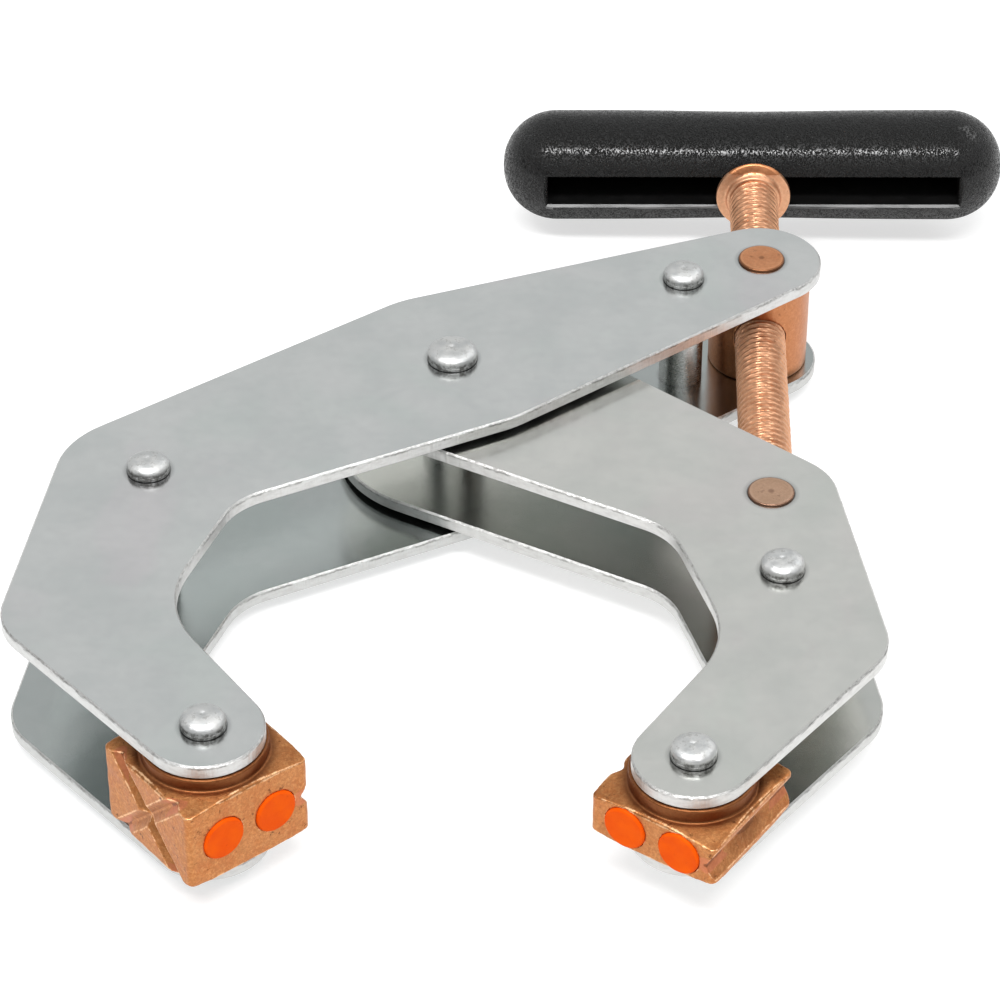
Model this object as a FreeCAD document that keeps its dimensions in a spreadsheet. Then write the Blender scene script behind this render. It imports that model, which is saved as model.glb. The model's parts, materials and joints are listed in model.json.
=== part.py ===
"""Cantilever clamp: two nested plate arms on one pivot, closed by a screw that spreads their free ends.

Millimetres, +Z up. The clamp lies on its side: the plates are horizontal, the rivet heads stand on z = 0,
the pivot axis is the Z axis and the screw lies along Y. The free ends of the arms are the same distance
from the pivot, so the nut and the socket each turn by half the arms' angle and the screw stays in line.
"""

import math
import os

import FreeCAD, Part
import Sketcher

V = FreeCAD.Vector
doc = FreeCAD.newDocument("CantileverClamp")

# ---------------------------------------------------------------- driving dimensions

SIZES = {
    # plates, and the heights that everything else follows
    "plate_thick": 3.0,
    "outer_gap": 22.3,
    "inner_gap": 14.0,
    "edge_break": 0.35,
    "head_high": 3.2,
    # the pivot and the two screw points, which are the same distance from the pivot
    "pivot_round": 24.3,
    "lever_long": 76.3,
    "lever_angle": 30.7,
    # outer arm outline: centre and radius of each rounded corner
    "outer_end_round": 12.9,
    "outer_elbow_x": -59.5,
    "outer_elbow_y": -40.5,
    "outer_elbow_round": 18.9,
    "outer_heel_x": -69.3,
    "outer_heel_y": -84.6,
    "outer_jaw_x": -41.3,
    "outer_jaw_y": -118.2,
    "outer_throat_x": -26.1,
    "outer_throat_y": -78.9,
    "outer_neck_x": -29.1,
    "outer_neck_y": -60.1,
    "outer_post_x": 48.6,
    "outer_post_y": 31.0,
    # inner arm outline
    "inner_end_round": 13.6,
    "inner_heel_x": 72.8,
    "inner_heel_y": -83.8,
    "inner_jaw_x": 49.0,
    "inner_jaw_y": -119.2,
    "inner_throat_x": 30.3,
    "inner_throat_y": -81.8,
    "inner_neck_x": 33.1,
    "inner_neck_y": -61.6,
    "inner_elbow_x": 67.1,
    "inner_elbow_y": -63.8,
    # rounds that both arms share
    "heel_round": 14.0,
    "tip_round": 11.5,
    "throat_round": 24.0,
    "neck_round": 15.0,
    # rivets, spacers, washers and bush
    "pivot_shank": 4.0,
    "pivot_head": 5.15,
    "pivot_washer": 9.0,
    "pivot_bush": 6.5,
    "rivet_shank": 3.0,
    "rivet_head": 4.3,
    "head_rim": 1.7,
    "head_flat": 0.76,
    "spacer_round": 4.7,
    "running_gap": 0.05,
    "side_gap": 0.1,
    # trunnions
    "nut_round": 10.8,
    "nut_pin": 4.95,
    "nut_pin_proud": 0.6,
    "socket_round": 10.0,
    "socket_pin": 4.75,
    "socket_pin_proud": 0.5,
    # screw, measured along its axis from the socket's pin
    "screw_round": 5.5,
    "screw_neck": 3.75,
    "shoulder_at": 4.0,
    "socket_face": 8.0,
    "clip_at": 8.3,
    "clip_thick": 1.0,
    "clip_round": 5.6,
    "clip_groove": 3.0,
    "tip_at": 11.0,
    "washer_thick": 1.0,
    "washer_round": 5.4,
    # T-handle
    "handle_at": 138.9,
    "handle_turn": 1.0,
    "grip_round": 12.65,
    "grip_long": 115.4,
    "slot_long": 94.6,
    "slot_wide": 7.4,
    "slot_past": 6.9,
    "rod_round": 2.4,
    "rod_long": 104.0,
    "eye_wide": 12.0,
    "eye_thick": 7.2,
    "collar_round": 8.5,
    "collar_thick": 1.4,
    "collar_clear": 0.2,
    # swivelling jaws
    "jaw_wide": 27.2,
    "jaw_corner": 1.2,
    "jaw_break": 0.5,
    "jaw_crown": 108.0,
    "jaw_flat": 13.0,
    "jaw_boss": 12.0,
    "outer_jaw_high": 18.4,
    "inner_jaw_high": 10.0,
    "outer_jaw_boss_high": 1.35,
    "inner_jaw_boss_high": 1.15,
    "outer_jaw_turn": 40.4,
    "inner_jaw_turn": -33.4,
    "cross_wide": 3.6,
    "cross_deep": 1.3,
    "outer_jaw_vee": 5.2,
    "inner_jaw_vee": 6.8,
    "vee_deep": 1.9,
    "upright_wide": 6.0,
    "upright_deep": 2.0,
    "plug_round": 4.4,
    "plug_apart": 11.8,
    "plug_deep": 4.0,
    "plug_proud": 0.5,
    "plug_bevel": 0.3,
}

sheet = doc.addObject("Spreadsheet::Sheet", "Dims")
for row, (alias, value) in enumerate(SIZES.items(), start=1):
    sheet.set(f"A{row}", alias)
    sheet.set(f"B{row}", str(value))
    sheet.setAlias(f"B{row}", alias)
doc.recompute()


def cell(alias):
    """The expression that reads one cell."""
    return f"Dims.{alias}"


def number(expression):
    """The value of an expression, for a sketch's first geometry."""
    value = sheet.evalExpression(expression)
    return float(getattr(value, "Value", value))


# heights, as expressions
OUTER_LOW = cell("head_high")
OUTER_LOW_TOP = f"({OUTER_LOW} + Dims.plate_thick)"
OUTER_HIGH = f"({OUTER_LOW_TOP} + Dims.outer_gap)"
OUTER_TOP = f"({OUTER_HIGH} + Dims.plate_thick)"
MIDDLE = f"({OUTER_LOW_TOP} + Dims.outer_gap / 2)"
INNER_LOW = f"({MIDDLE} - Dims.inner_gap / 2 - Dims.plate_thick)"
INNER_LOW_TOP = f"({MIDDLE} - Dims.inner_gap / 2)"
INNER_HIGH = f"({MIDDLE} + Dims.inner_gap / 2)"
INNER_TOP = f"({INNER_HIGH} + Dims.plate_thick)"

# places in plan, as pairs of expressions
PIVOT = None
NUT = (
    "(Dims.lever_long * cos(Dims.lever_angle * 1 deg))",
    "(Dims.lever_long * sin(Dims.lever_angle * 1 deg))",
)
SOCKET = (NUT[0], f"(-{NUT[1]})")
HANDLE_Y = f"({SOCKET[1]} + Dims.handle_at)"


def place(name):
    """A place whose two coordinates are cells."""
    return cell(name + "_x"), cell(name + "_y")


OUTER_ELBOW, OUTER_POST, OUTER_JAW = place("outer_elbow"), place("outer_post"), place("outer_jaw")
INNER_ELBOW, INNER_JAW = place("inner_elbow"), place("inner_jaw")

ALONG_Y = FreeCAD.Rotation(V(1, 0, 0), -90)
ALONG_X = FreeCAD.Rotation(V(0, 1, 0), 90)
UPSIDE_DOWN = FreeCAD.Rotation(V(1, 0, 0), 180)

finished = []


# ---------------------------------------------------------------- helpers


def bind(obj, **expressions):
    """Bind an object's properties to expressions; X, Y, Z and Turn stand for its placement."""
    paths = {
        "X": "Placement.Base.x",
        "Y": "Placement.Base.y",
        "Z": "Placement.Base.z",
        "Turn": "Placement.Rotation.Angle",
    }
    for name, expression in expressions.items():
        obj.setExpression(paths.get(name, name), expression)
    return obj


def at(spot, **others):
    """The placement expressions of a spot in plan, with any others."""
    return others if spot is PIVOT else {"X": spot[0], "Y": spot[1], **others}


def primitive(kind, name, lie=None, **expressions):
    """A Part primitive; lie is a rotation that lays it along another axis."""
    obj = doc.addObject(f"Part::{kind}", name)
    if lie is not None:
        obj.Placement = FreeCAD.Placement(V(0, 0, 0), lie)
    return bind(obj, **expressions)


def fuse(name, *pieces):
    obj = doc.addObject("Part::MultiFuse", name)
    obj.Shapes = list(pieces)
    obj.Refine = True
    return obj


def cut(name, base, *tools):
    obj = doc.addObject("Part::Cut", name)
    obj.Base = base
    obj.Tool = tools[0] if len(tools) == 1 else fuse(name + "_tools", *tools)
    obj.Refine = True
    return obj


def finish(obj, label):
    """Name an object as a finished sub-part."""
    obj.Label = label
    finished.append(obj)
    return obj


def origin_plane(body, role):
    return next(f for f in body.Origin.OriginFeatures if f.Role == role)


# ---------------------------------------------------------------- plates


def flat_sketch(body, name):
    """A sketch on the body's own ground plane."""
    sketch = body.newObject("Sketcher::SketchObject", name)
    sketch.AttachmentSupport = [(origin_plane(body, "XY_Plane"), "")]
    sketch.MapMode = "FlatFace"
    return sketch


def hold(sketch, kind, expression, *where):
    """Add one dimension to a sketch and bind it."""
    index = sketch.addConstraint(Sketcher.Constraint(kind, *where, number(expression)))
    sketch.setExpression(f"Constraints[{index}]", expression)


def hold_centre(sketch, geometry, spot):
    if spot is PIVOT:
        sketch.addConstraint(Sketcher.Constraint("Coincident", geometry, 3, -1, 1))
        return
    hold(sketch, "DistanceX", spot[0], -1, 1, geometry, 3)
    hold(sketch, "DistanceY", spot[1], -1, 1, geometry, 3)


def centre(spot):
    return V(0, 0, 0) if spot is PIVOT else V(number(spot[0]), number(spot[1]), 0)


def belt_runs(rollers):
    """The straight runs of a belt that goes anticlockwise round rollers, or outside a hollow one."""
    runs = []
    for here, there in zip(rollers, rollers[1:] + rollers[:1]):
        (c0, r0, s0), (c1, r1, s1) = here, there
        step = c1 - c0
        heading = math.atan2(step.y, step.x) + math.asin((s0 * r0 - s1 * r1) / step.Length)
        out = V(math.sin(heading), -math.cos(heading), 0)
        runs.append((c0 + out * (s0 * r0), c1 + out * (s1 * r1)))
    return runs


def outline_sketch(body, outline):
    """Arcs round each roller, each tangent to the straight runs on both sides of it."""
    sketch = flat_sketch(body, body.Name + "_outline")
    rollers = [(centre(spot), number(cell(radius)), side) for spot, radius, side in outline]
    runs = belt_runs(rollers)
    for (middle, radius, side), arrive, leave in zip(rollers, runs[-1:] + runs[:-1], runs):
        ends = [math.atan2((p - middle).y, (p - middle).x) for p in (arrive[1], leave[0])]
        circle = Part.Circle(middle, V(0, 0, 1), radius)
        sketch.addGeometry(Part.ArcOfCircle(circle, *(ends if side == FULL else ends[::-1])), False)
    for start, end in runs:
        sketch.addGeometry(Part.LineSegment(start, end), False)
    count = len(outline)
    for i, (spot, radius, side) in enumerate(outline):
        first, last = (1, 2) if side == FULL else (2, 1)
        hold_centre(sketch, i, spot)
        hold(sketch, "Radius", cell(radius), i)
        sketch.addConstraint(Sketcher.Constraint("Tangent", i, first, count + (i - 1) % count, 2))
        sketch.addConstraint(Sketcher.Constraint("Tangent", i, last, count + i, 1))
    return sketch


def plate(label, outline, holes, level):
    """A pressed plate with broken edges and a hole for each rivet and pin."""
    body = doc.addObject("PartDesign::Body", label + "_body")
    pad = body.newObject("PartDesign::Pad", label + "_pad")
    pad.Profile = outline_sketch(body, outline)
    bind(pad, Length=cell("plate_thick"))
    doc.recompute()
    flats = [f"Face{n}" for n, face in enumerate(pad.Shape.Faces, 1) if abs(face.normalAt(0, 0).z) > 0.99]
    edges = body.newObject("PartDesign::Chamfer", label + "_edges")
    edges.Base = (pad, flats)
    bind(edges, Size=cell("edge_break"))
    drill = flat_sketch(body, label + "_holes")
    for i, (spot, radius) in enumerate(holes):
        drill.addGeometry(Part.Circle(centre(spot), V(0, 0, 1), number(radius)), False)
        hold_centre(drill, i, spot)
        hold(drill, "Radius", radius, i)
    pocket = body.newObject("PartDesign::Pocket", label + "_drilled")
    pocket.Profile = drill
    pocket.Type = "ThroughAll"
    pocket.Midplane = True
    return finish(bind(body, Z=level), label)


FULL, HOLLOW = 1, -1

OUTER_OUTLINE = [
    (NUT, "outer_end_round", FULL),
    (PIVOT, "pivot_round", FULL),
    (OUTER_ELBOW, "outer_elbow_round", FULL),
    (place("outer_heel"), "heel_round", FULL),
    (OUTER_JAW, "tip_round", FULL),
    (place("outer_throat"), "throat_round", HOLLOW),
    (place("outer_neck"), "neck_round", HOLLOW),
    (PIVOT, "pivot_round", FULL),
]
INNER_OUTLINE = [
    (SOCKET, "inner_end_round", FULL),
    (PIVOT, "pivot_round", FULL),
    (place("inner_neck"), "neck_round", HOLLOW),
    (place("inner_throat"), "throat_round", HOLLOW),
    (INNER_JAW, "tip_round", FULL),
    (place("inner_heel"), "heel_round", FULL),
]
RUNNING = " + Dims.running_gap"
OUTER_HOLES = [
    (PIVOT, cell("pivot_shank")),
    (OUTER_ELBOW, cell("rivet_shank")),
    (OUTER_POST, cell("rivet_shank")),
    (OUTER_JAW, cell("rivet_shank")),
    (NUT, cell("nut_pin") + RUNNING),
]
INNER_HOLES = [
    (PIVOT, cell("pivot_shank") + RUNNING),
    (INNER_ELBOW, cell("rivet_shank")),
    (INNER_JAW, cell("rivet_shank")),
    (SOCKET, cell("socket_pin") + RUNNING),
]

plate("outer_arm_plate_bottom", OUTER_OUTLINE, OUTER_HOLES, OUTER_LOW)
plate("outer_arm_plate_top", OUTER_OUTLINE, OUTER_HOLES, OUTER_HIGH)
plate("inner_arm_plate_bottom", INNER_OUTLINE, INNER_HOLES, INNER_LOW)
plate("inner_arm_plate_top", INNER_OUTLINE, INNER_HOLES, INNER_HIGH)


# ---------------------------------------------------------------- rivets, spacers and washers


def rivet(label, spot, shank, head, low, high):
    """A shank between two plates' outer faces, with a rim and a blunt cone for each head."""
    grip = primitive("Cylinder", label + "_shank", Radius=shank, Height=f"{high} - {low}", **at(spot, Z=low))
    pieces = [grip]
    for end, level, lie, away in (("top", high, None, "+"), ("low", low, UPSIDE_DOWN, "-")):
        rim = f"{level} {away} Dims.head_rim"
        pieces.append(
            primitive(
                "Cylinder", f"{label}_{end}_rim", lie, Radius=head, Height="Dims.head_rim", **at(spot, Z=level)
            )
        )
        pieces.append(
            primitive(
                "Cone",
                f"{label}_{end}_crown",
                lie,
                Radius1=head,
                Radius2=f"{head} * Dims.head_flat",
                Height="Dims.head_high - Dims.head_rim",
                **at(spot, Z=rim),
            )
        )
    return finish(fuse(label + "_whole", *pieces), label)


def ring(label, spot, outside, inside, low, high):
    """A washer, bush or spacer tube."""
    rim = primitive("Cylinder", label + "_rim", Radius=outside, Height=f"{high} - {low}", **at(spot, Z=low))
    hole = primitive("Cylinder", label + "_hole", Radius=inside, Height=f"{high} - {low}", **at(spot, Z=low))
    return finish(cut(label + "_ring", rim, hole), label)


SMALL = (cell("rivet_shank"), cell("rivet_head"))
rivet("pivot_rivet", PIVOT, cell("pivot_shank"), cell("pivot_head"), OUTER_LOW, OUTER_TOP)
rivet("outer_elbow_rivet", OUTER_ELBOW, *SMALL, OUTER_LOW, OUTER_TOP)
rivet("outer_post_rivet", OUTER_POST, *SMALL, OUTER_LOW, OUTER_TOP)
rivet("outer_jaw_rivet", OUTER_JAW, *SMALL, OUTER_LOW, OUTER_TOP)
rivet("inner_elbow_rivet", INNER_ELBOW, *SMALL, INNER_LOW, INNER_TOP)
rivet("inner_jaw_rivet", INNER_JAW, *SMALL, INNER_LOW, INNER_TOP)

TUBE = (cell("spacer_round"), cell("rivet_shank"))
ring("outer_elbow_spacer", OUTER_ELBOW, *TUBE, OUTER_LOW_TOP, OUTER_HIGH)
ring("outer_post_spacer", OUTER_POST, *TUBE, OUTER_LOW_TOP, OUTER_HIGH)
ring("inner_elbow_spacer", INNER_ELBOW, *TUBE, INNER_LOW_TOP, INNER_HIGH)

WASHER = (cell("pivot_washer"), cell("pivot_shank"))
GAP = " Dims.running_gap"
ring("pivot_washer_bottom", PIVOT, *WASHER, OUTER_LOW_TOP, f"({INNER_LOW} - {GAP})")
ring("pivot_washer_top", PIVOT, *WASHER, f"({INNER_TOP} + {GAP})", OUTER_HIGH)
ring("pivot_bush", PIVOT, cell("pivot_bush"), cell("pivot_shank") + RUNNING, INNER_LOW_TOP, INNER_HIGH)


# ---------------------------------------------------------------- trunnions


def trunnion(name, spot, barrel, pin, low, high, pin_low, pin_high):
    """An upright barrel that turns between two plates on a pin at each end."""
    drum = primitive("Cylinder", name + "_drum", Radius=barrel, Height=f"{high} - {low}", **at(spot, Z=low))
    pins = primitive(
        "Cylinder", name + "_pins", Radius=pin, Height=f"{pin_high} - {pin_low}", **at(spot, Z=pin_low)
    )
    return fuse(name + "_blank", drum, pins)


def turned_with_handle(obj):
    """Turns a finished solid about the screw's axis, to where the handle was left."""
    spot = f"vector({SOCKET[0]}; 0; {MIDDLE})"
    turn = "rotation(vector(0; 1; 0); -Dims.handle_turn)"
    obj.setExpression("Placement", f"placement(vector(0; 0; 0); {turn}; {spot})")
    return obj


def along_screw(kind, name, start, length, **expressions):
    """A primitive along the screw's axis, placed by its distance from the socket's pin."""
    return primitive(
        kind, name, ALONG_Y, X=SOCKET[0], Y=f"{SOCKET[1]} + {start}", Z=MIDDLE, Height=length, **expressions
    )


nut_blank = trunnion(
    "nut",
    NUT,
    cell("nut_round"),
    cell("nut_pin"),
    f"({OUTER_LOW_TOP} + Dims.side_gap)",
    f"({OUTER_HIGH} - Dims.side_gap)",
    f"({OUTER_LOW} - Dims.nut_pin_proud)",
    f"({OUTER_TOP} + Dims.nut_pin_proud)",
)
nut_bore = along_screw(
    "Cylinder",
    "nut_bore",
    f"(2 * {NUT[1]} - 1.5 * Dims.nut_round)",
    "3 * Dims.nut_round",
    Radius=cell("screw_round") + RUNNING,
)
finish(cut("nut", nut_blank, nut_bore), "trunnion_nut")

socket_blank = trunnion(
    "socket",
    SOCKET,
    cell("socket_round"),
    cell("socket_pin"),
    f"({INNER_LOW_TOP} + Dims.side_gap)",
    f"({INNER_HIGH} - Dims.side_gap)",
    f"({INNER_LOW} - Dims.socket_pin_proud)",
    f"({INNER_TOP} + Dims.socket_pin_proud)",
)
socket_bore = along_screw(
    "Cylinder",
    "socket_bore",
    "(-2 * Dims.socket_round)",
    "4 * Dims.socket_round",
    Radius=cell("screw_neck") + RUNNING,
)
socket_mouth = along_screw(
    "Cylinder",
    "socket_mouth",
    "(Dims.shoulder_at - Dims.washer_thick)",
    "2 * Dims.socket_round",
    Radius=cell("screw_round") + " + Dims.side_gap",
)
socket_flat = primitive(
    "Box",
    "socket_flat",
    X=f"{SOCKET[0]} - Dims.socket_round",
    Y=f"{SOCKET[1]} - Dims.socket_face - Dims.socket_round",
    Z=f"{INNER_LOW_TOP}",
    Length="2 * Dims.socket_round",
    Width=cell("socket_round"),
    Height=cell("inner_gap"),
)
finish(cut("socket", socket_blank, socket_bore, socket_mouth, socket_flat), "trunnion_socket")

washer_start = "(Dims.shoulder_at - Dims.washer_thick)"
washer_rim = along_screw("Cylinder", "washer_rim", washer_start, cell("washer_thick"), Radius=cell("washer_round"))
washer_hole = along_screw(
    "Cylinder", "washer_hole", washer_start, cell("washer_thick"), Radius=cell("screw_neck") + RUNNING
)
finish(cut("washer", washer_rim, washer_hole), "thrust_washer")


# ---------------------------------------------------------------- screw

COLLAR_BACK = "(Dims.handle_at - Dims.grip_round - Dims.collar_clear)"
COLLAR_FRONT = f"({COLLAR_BACK} - Dims.collar_thick)"
EYE_START = COLLAR_BACK

shaft = along_screw(
    "Cylinder",
    "screw_shaft",
    "(Dims.shoulder_at + Dims.running_gap)",
    f"{COLLAR_BACK} - Dims.shoulder_at - Dims.running_gap",
    Radius=cell("screw_round"),
)
neck = along_screw(
    "Cylinder", "screw_neck", "(-Dims.tip_at)", "Dims.tip_at + Dims.shoulder_at + 1", Radius=cell("screw_neck")
)
eye_shank = primitive(
    "Box",
    "eye_shank",
    X=f"{SOCKET[0]} - Dims.eye_wide / 2",
    Y=f"{SOCKET[1]} + {EYE_START}",
    Z=f"{MIDDLE} - Dims.eye_thick / 2",
    Length=cell("eye_wide"),
    Width=f"Dims.handle_at - {EYE_START}",
    Height=cell("eye_thick"),
)
eye_end = primitive(
    "Cylinder",
    "eye_end",
    X=SOCKET[0],
    Y=HANDLE_Y,
    Z=f"{MIDDLE} - Dims.eye_thick / 2",
    Radius="Dims.eye_wide / 2",
    Height=cell("eye_thick"),
)
eye_hole = primitive(
    "Cylinder",
    "eye_hole",
    ALONG_X,
    X=f"{SOCKET[0]} - Dims.eye_wide",
    Y=HANDLE_Y,
    Z=MIDDLE,
    Radius=cell("rod_round") + RUNNING,
    Height="2 * Dims.eye_wide",
)
clip_start = "(-Dims.clip_at - Dims.clip_thick)"
groove_rim = along_screw("Cylinder", "groove_rim", clip_start, cell("clip_thick"), Radius=cell("clip_round"))
groove_core = along_screw("Cylinder", "groove_core", clip_start, cell("clip_thick"), Radius=cell("clip_groove"))
screw_whole = fuse("screw_whole", shaft, neck, eye_shank, eye_end)
screw_cut = cut("screw", screw_whole, eye_hole, cut("groove", groove_rim, groove_core))
finish(turned_with_handle(screw_cut), "clamp_screw")

clip_rim = along_screw("Cylinder", "clip_rim", clip_start, cell("clip_thick"), Radius=cell("clip_round"))
clip_hole = along_screw("Cylinder", "clip_hole", clip_start, cell("clip_thick"), Radius=cell("clip_groove"))
clip_mouth = primitive(
    "Box",
    "clip_mouth",
    X=f"{SOCKET[0]} - 0.7 * Dims.clip_groove",
    Y=f"{SOCKET[1]} + {clip_start}",
    Z=MIDDLE,
    Length="1.4 * Dims.clip_groove",
    Width=cell("clip_thick"),
    Height="2 * Dims.clip_round",
)
finish(cut("clip", clip_rim, clip_hole, clip_mouth), "retaining_clip")

collar_rim = along_screw("Cylinder", "collar_rim", COLLAR_FRONT, cell("collar_thick"), Radius=cell("collar_round"))
collar_hole = along_screw("Cylinder", "collar_hole", COLLAR_FRONT, cell("collar_thick"), Radius=cell("screw_round"))
finish(cut("collar", collar_rim, collar_hole), "screw_collar")


# ---------------------------------------------------------------- T-handle


def along_handle(name, radius, length):
    """A rod along the handle's axis, centred on the screw."""
    return primitive(
        "Cylinder",
        name,
        ALONG_X,
        X=f"{SOCKET[0]} - ({length}) / 2",
        Y=HANDLE_Y,
        Z=MIDDLE,
        Radius=radius,
        Height=length,
    )


grip_barrel = along_handle("grip_barrel", cell("grip_round"), "Dims.grip_long - 2 * Dims.grip_round")
grip_ends = [
    primitive(
        "Sphere",
        f"grip_{end}_end",
        X=f"{SOCKET[0]} {sign} (Dims.grip_long / 2 - Dims.grip_round)",
        Y=HANDLE_Y,
        Z=MIDDLE,
        Radius=cell("grip_round"),
    )
    for end, sign in (("left", "-"), ("right", "+"))
]
grip_slot = primitive(
    "Box",
    "grip_slot",
    X=f"{SOCKET[0]} - Dims.slot_long / 2",
    Y=f"{HANDLE_Y} - 2 * Dims.grip_round",
    Z=f"{MIDDLE} - Dims.slot_wide / 2",
    Length=cell("slot_long"),
    Width="2 * Dims.grip_round + Dims.slot_past",
    Height=cell("slot_wide"),
)
grip_bore = along_handle("grip_bore", cell("rod_round"), cell("rod_long"))
grip_cut = cut("grip", fuse("grip_blank", grip_barrel, *grip_ends), grip_slot, grip_bore)
finish(turned_with_handle(grip_cut), "handle_grip")
rod = along_handle("rod", cell("rod_round"), cell("rod_long"))
bind(
    rod,
    X=f"{SOCKET[0]} - cos(Dims.handle_turn) * Dims.rod_long / 2",
    Z=f"{MIDDLE} - sin(Dims.handle_turn) * Dims.rod_long / 2",
)
rod.setExpression("Placement.Rotation.Angle", "90 - Dims.handle_turn")
finish(rod, "handle_rod")


# ---------------------------------------------------------------- jaws


def groove(name, wide, deep, lie, centre_at):
    """A long V-shaped cutter whose point looks along +X before it is laid; it starts on the face."""
    tool = doc.addObject("Part::Wedge", name)
    tool.Placement = FreeCAD.Placement(centre_at, lie)
    reach = cell("jaw_wide")
    return bind(
        tool,
        Xmin=f"-{wide} / 2",
        Xmax=f"{wide} / 2",
        X2min="0 mm",
        X2max="0 mm",
        Ymin="0 mm",
        Ymax=deep,
        Zmin=f"-{reach}",
        Zmax=reach,
        Z2min=f"-{reach}",
        Z2max=reach,
    )


PLUG_CROWN = {"Radius1": "Dims.plug_round - Dims.plug_bevel", "Radius2": "Dims.plug_round"}
PLUG_STEM = "Dims.plug_deep + Dims.plug_proud - Dims.plug_bevel"


def jaw(label, spot, gap):
    """A square jaw with a boss at each end of its bore and a different gripping face on each side.

    Its top and bottom are crowned outside a flat ring, so that the corners are lower than the middles of the edges.

    Its block lies nearer the lower plate, and the bosses fill the gap between its plates.
    """
    high, boss_high, turn = cell(label + "_high"), cell(label + "_boss_high"), cell(label + "_turn")
    level = f"{MIDDLE} - ({gap} - {high}) / 2 + {boss_high} + Dims.running_gap"
    block = primitive(
        "Box",
        label + "_block",
        X="-Dims.jaw_wide / 2",
        Y="-Dims.jaw_wide / 2",
        Z=f"-{high} / 2",
        Length=cell("jaw_wide"),
        Width=cell("jaw_wide"),
        Height=high,
    )
    doc.recompute()
    upright = [n for n, edge in enumerate(block.Shape.Edges, 1) if abs(edge.tangentAt(0).z) > 0.9]
    rounded = doc.addObject("Part::Fillet", label + "_rounded")
    rounded.Base = block
    rounded.Edges = [(n, number(cell("jaw_corner")), number(cell("jaw_corner"))) for n in upright]
    doc.recompute()
    rims = [n for n, edge in enumerate(rounded.Shape.Edges, 1) if abs(edge.tangentAt(0).z) < 0.1]
    broken = doc.addObject("Part::Chamfer", label + "_broken")
    broken.Base = rounded
    broken.Edges = [(n, number(cell("jaw_break")), number(cell("jaw_break"))) for n in rims]
    depth = f"(sqrt(Dims.jaw_crown ^ 2 - Dims.jaw_flat ^ 2) - {high} / 2)"
    crowns = [
        primitive("Sphere", f"{label}_{end}_crown", Z=f"{sign}{depth}", Radius=cell("jaw_crown"))
        for end, sign in (("upper", "-"), ("lower", ""))
    ]
    lens = doc.addObject("Part::Common", label + "_lens")
    lens.Base, lens.Tool = crowns
    crowned = doc.addObject("Part::Common", label + "_crowned")
    crowned.Base, crowned.Tool = broken, lens
    boss = primitive(
        "Cylinder",
        label + "_boss",
        Z=f"-({high} / 2 + {boss_high})",
        Radius=cell("jaw_boss"),
        Height=f"{gap} - 2 * Dims.running_gap",
    )
    bore = primitive(
        "Cylinder", label + "_bore", Z=f"-{gap}", Radius=cell("rivet_shank") + RUNNING, Height=f"2 * {gap}"
    )
    half = number(cell("jaw_wide")) / 2
    facing = {  # turns a wedge's point, which looks along +Y, into each face
        "left": FreeCAD.Rotation(V(0, 0, 1), -90),
        "right": FreeCAD.Rotation(V(0, 0, 1), 90),
        "rear": FreeCAD.Rotation(V(0, 0, 1), 180),
    }
    sideways = FreeCAD.Rotation(V(0, 1, 0), 90)
    slants = [FreeCAD.Rotation(V(0, 1, 0), angle) for angle in (-45, 45)]
    tools = [bore]
    for side, slant in zip(("up", "down"), slants):
        tools.append(
            groove(
                f"{label}_cross_{side}",
                cell("cross_wide"),
                cell("cross_deep"),
                facing["left"] * slant,
                V(-half, 0, 0),
            )
        )
    tools.append(
        groove(
            f"{label}_vee", cell(label + "_vee"), cell("vee_deep"), facing["right"] * sideways, V(half, 0, 0)
        )
    )
    tools.append(
        groove(f"{label}_upright", cell("upright_wide"), cell("upright_deep"), facing["rear"], V(0, half, 0))
    )
    for side, sign in (("left", "-"), ("right", "")):
        tools.append(
            primitive(
                "Cylinder",
                f"{label}_{side}_seat",
                ALONG_Y,
                X=f"{sign}Dims.plug_apart / 2",
                Y="-Dims.jaw_wide",
                Radius=cell("plug_round"),
                Height="Dims.jaw_wide / 2 + Dims.plug_deep",
            )
        )
    whole = cut(label + "_cut", fuse(label + "_blank", crowned, boss), *tools)
    finish(bind(whole, Turn=turn, **at(spot, Z=level)), label)
    for side, sign in (("left", "-"), ("right", "")):
        plug = [
            primitive(
                kind,
                f"{label}_{side}_plug_{part}",
                ALONG_Y,
                X=f"{sign}Dims.plug_apart / 2",
                Y=f"-Dims.jaw_wide / 2 - Dims.plug_proud {start}",
                Height=height,
                **radii,
            )
            for kind, part, start, height, radii in (
                ("Cone", "crown", "", "Dims.plug_bevel", PLUG_CROWN),
                ("Cylinder", "stem", "+ Dims.plug_bevel", PLUG_STEM, {"Radius": "Dims.plug_round"}),
            )
        ]
        turned = fuse(f"{label}_{side}_plug_turned", *plug)
        finish(bind(turned, Turn=turn, **at(spot, Z=level)), f"{label}_plug_{side}")


jaw("outer_jaw", OUTER_JAW, cell("outer_gap"))
jaw("inner_jaw", INNER_JAW, cell("inner_gap"))


# ---------------------------------------------------------------- check and export

doc.recompute()
for obj in doc.Objects:
    if {"Invalid", "Error"} & set(obj.State):
        raise RuntimeError(f"{obj.Label} did not recompute: {obj.State}")

os.makedirs("parts", exist_ok=True)
for obj in finished:
    shape = obj.Shape
    if shape.isNull() or not shape.isValid() or len(shape.Solids) != 1:
        raise RuntimeError(f"{obj.Label} is not one valid solid")
    shape.exportStep(f"parts/{obj.Label}.step")
print(f"{len(finished)} sub-parts")
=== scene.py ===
"""The look of a cantilever clamp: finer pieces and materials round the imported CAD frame, in metres."""

import bmesh
import bpy
import json
import math
from mathutils import Matrix, Vector, kdtree, noise


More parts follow.
